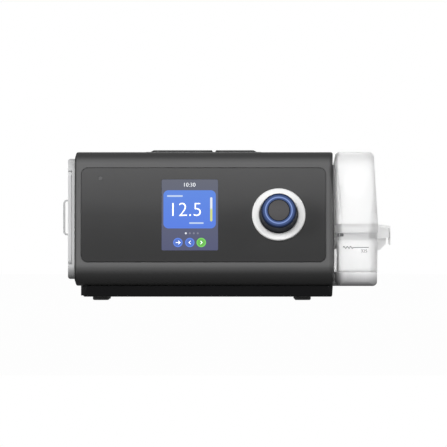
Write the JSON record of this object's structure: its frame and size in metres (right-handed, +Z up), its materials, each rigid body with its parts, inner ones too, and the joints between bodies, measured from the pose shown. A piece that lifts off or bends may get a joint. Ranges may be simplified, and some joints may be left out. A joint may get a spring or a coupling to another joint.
{
  "type": "bilevel pap machine",
  "caption": "Bilevel breathing machine with a tilted screen and dial panel, top keys, a filter door on the left, and a clear heated water chamber with a hose port on the right.",
  "frame": {"origin": "on the floor under the middle of the whole machine's box", "axes": "+Z up, +X towards the water chamber, -Y out of the front panel"},
  "size_m": [0.29, 0.186, 0.1325],
  "materials": {
    "cover_plastic": "fine satin texture, dark charcoal",
    "tray_plastic": "fine matt texture, near black",
    "plate_plastic": "smooth satin",
    "screen_glass": "clear cover window",
    "screen_glow": "lit screen",
    "sensor_window": "smoked",
    "white_ring": "satin white",
    "knob_plastic": "deep blue-black satin",
    "glow_ring": "lit light guide",
    "cap_plastic": "spun grey",
    "side_plastic": "fine texture, pale grey",
    "filter_media": "felted fibre",
    "inner_plastic": "plain moulded",
    "blower_plastic": "glass-filled",
    "soft_foam": "open-cell foam",
    "black_rubber": "moulded",
    "clear_silicone": "translucent",
    "clear_plastic": "clear moulded polycarbonate",
    "pan_steel": "drawn",
    "bright_steel": "turned",
    "black_steel": "black oxide",
    "heater_alu": "machined",
    "motor_can": "zinc plated",
    "board_green": "solder mask",
    "part_black": "moulded"
  },
  "bodies": {
    "main": {"housing": "cover_plastic", "rear_panel": "tray_plastic", "base_tray": "tray_plastic", "feet": "black_rubber", "base_screws": "black_steel", "rear_screws": "black_steel", "face_plate": "plate_plastic", "display_window": "screen_glass", "display_module": "screen_glow", "light_sensor_window": "sensor_window", "dial_ring": "white_ring", "encoder_body": "part_black", "control_board": "board_green", "board_screws": "bright_steel", "button_bezel": "cover_plastic", "button_board": "board_green", "side_frame": "side_plastic", "door_hinge_pin": "bright_steel", "inlet_filter": "filter_media", "filter_grille": "inner_plastic", "muffler_box": "inner_plastic", "muffler_foam": "soft_foam", "blower_mounts": "black_rubber", "suction_sleeve": "black_rubber", "blower_volute": "blower_plastic", "blower_cover": "blower_plastic", "motor": "motor_can", "outlet_duct": "inner_plastic", "flow_sensor": "board_green", "outlet_seal": "black_rubber", "right_trim": "tray_plastic", "dock": "tray_plastic", "heater_springs": "bright_steel", "power_board": "board_green", "dc_jack": "part_black", "card_slot": "bright_steel"},
    "plunger": {"push_plunger": "part_black"},
    "knob": {"knob_body": "knob_plastic", "knob_light_ring": "glow_ring", "knob_cap": "cap_plastic", "encoder_shaft": "bright_steel"},
    "start_key": {"start_button": "cover_plastic"},
    "home_key": {"home_button": "cover_plastic"},
    "door": {"filter_door": "side_plastic", "door_grip": "side_plastic"},
    "rotor": {"impeller": "blower_plastic", "motor_shaft": "bright_steel"},
    "heater": {"heater_plate": "heater_alu", "heater_carrier": "inner_plastic"},
    "chamber": {"chamber_tub": "clear_plastic", "chamber_pan": "pan_steel", "lid_seal": "clear_silicone"},
    "lid": {"chamber_lid": "clear_plastic", "lid_baffle": "clear_plastic"},
    "card": {"memory_card": "part_black"}
  },
  "joints": [
    {"name": "knob_press", "type": "slide", "parent": "main", "child": "plunger", "axis": [0, 0.9781, -0.2079], "range_m": [0, 0.0008], "stiffness_N_per_m": 1500, "springref_m": -0.0004},
    {"name": "knob_turn", "type": "hinge", "parent": "plunger", "child": "knob", "pos_m": [0.0456, -0.07069, 0.0752], "axis": [0, -0.9781, 0.2079], "continuous": true},
    {"name": "start_press", "type": "slide", "parent": "main", "child": "start_key", "axis": [0, 0, -1], "range_m": [0, 0.0012], "stiffness_N_per_m": 800, "springref_m": -0.0005},
    {"name": "home_press", "type": "slide", "parent": "main", "child": "home_key", "axis": [0, 0, -1], "range_m": [0, 0.0012], "stiffness_N_per_m": 800, "springref_m": -0.0005},
    {"name": "door_swing", "type": "hinge", "parent": "main", "child": "door", "pos_m": [-0.13915, 0.05872, 0.0729], "axis": [0, 0, -1], "range_deg": [0, 95]},
    {"name": "rotor_spin", "type": "hinge", "parent": "main", "child": "rotor", "pos_m": [-0.0518, 0.00502, 0.0753], "axis": [0, 0, 1], "continuous": true},
    {"name": "heater_float", "type": "slide", "parent": "main", "child": "heater", "axis": [0, 0, -1], "range_m": [0, 0.001], "stiffness_N_per_m": 2500, "springref_m": -0.001, "deforming": ["heater_springs"]},
    {"name": "chamber_slide", "type": "slide", "parent": "main", "child": "chamber", "axis": [1, 0, 0], "range_m": [0, 0.075]},
    {"name": "lid_lift", "type": "slide", "parent": "chamber", "child": "lid", "axis": [0, 0, 1], "range_m": [0, 0.07]},
    {"name": "card_slide", "type": "slide", "parent": "main", "child": "card", "axis": [0, 1, 0], "range_m": [0, 0.024]}
  ]
}
